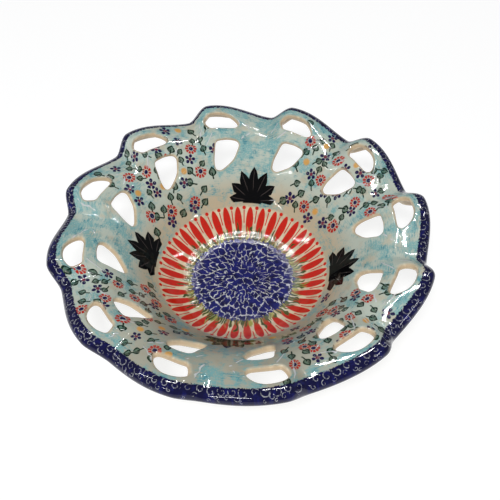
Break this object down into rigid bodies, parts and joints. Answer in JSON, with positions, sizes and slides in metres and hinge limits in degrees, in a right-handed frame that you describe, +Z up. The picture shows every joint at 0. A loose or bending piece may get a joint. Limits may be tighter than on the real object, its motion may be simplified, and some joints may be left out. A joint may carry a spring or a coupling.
{
  "type": "openwork fruit bowl",
  "caption": "Round stoneware fruit bowl with a flared pierced wall, a wavy rolled lip, a flat floor and a foot ring; holds fruit and lets air reach it.",
  "frame": {"origin": "centre of the foot ring's sole, on the table", "axes": "+Z up along the bowl's axis; +X and +Y each pass through the openings of a lobe"},
  "size_m": [0.28, 0.28, 0.0721],
  "materials": {
    "bare_clay": "unglazed fired stoneware, matt",
    "cobalt_glaze": "cobalt underglaze with pale scrolls under a glossy clear glaze",
    "band_glaze": "red strokes on cream under a glossy clear glaze",
    "wall_glaze": "sponged aqua on grey cream with small stamped flowers under a glossy clear glaze"
  },
  "bodies": {
    "root": {"foot_ring": "bare_clay", "well_floor": "cobalt_glaze", "coved_band": "band_glaze", "wall_lobe_01": "wall_glaze", "wall_lobe_02": "wall_glaze", "wall_lobe_03": "wall_glaze", "wall_lobe_04": "wall_glaze", "wall_lobe_05": "wall_glaze", "wall_lobe_06": "wall_glaze", "wall_lobe_07": "wall_glaze", "wall_lobe_08": "wall_glaze", "wall_lobe_09": "wall_glaze", "wall_lobe_10": "wall_glaze", "wall_lobe_11": "wall_glaze", "wall_lobe_12": "wall_glaze", "rolled_lip": "cobalt_glaze"}
  },
  "joints": []
}
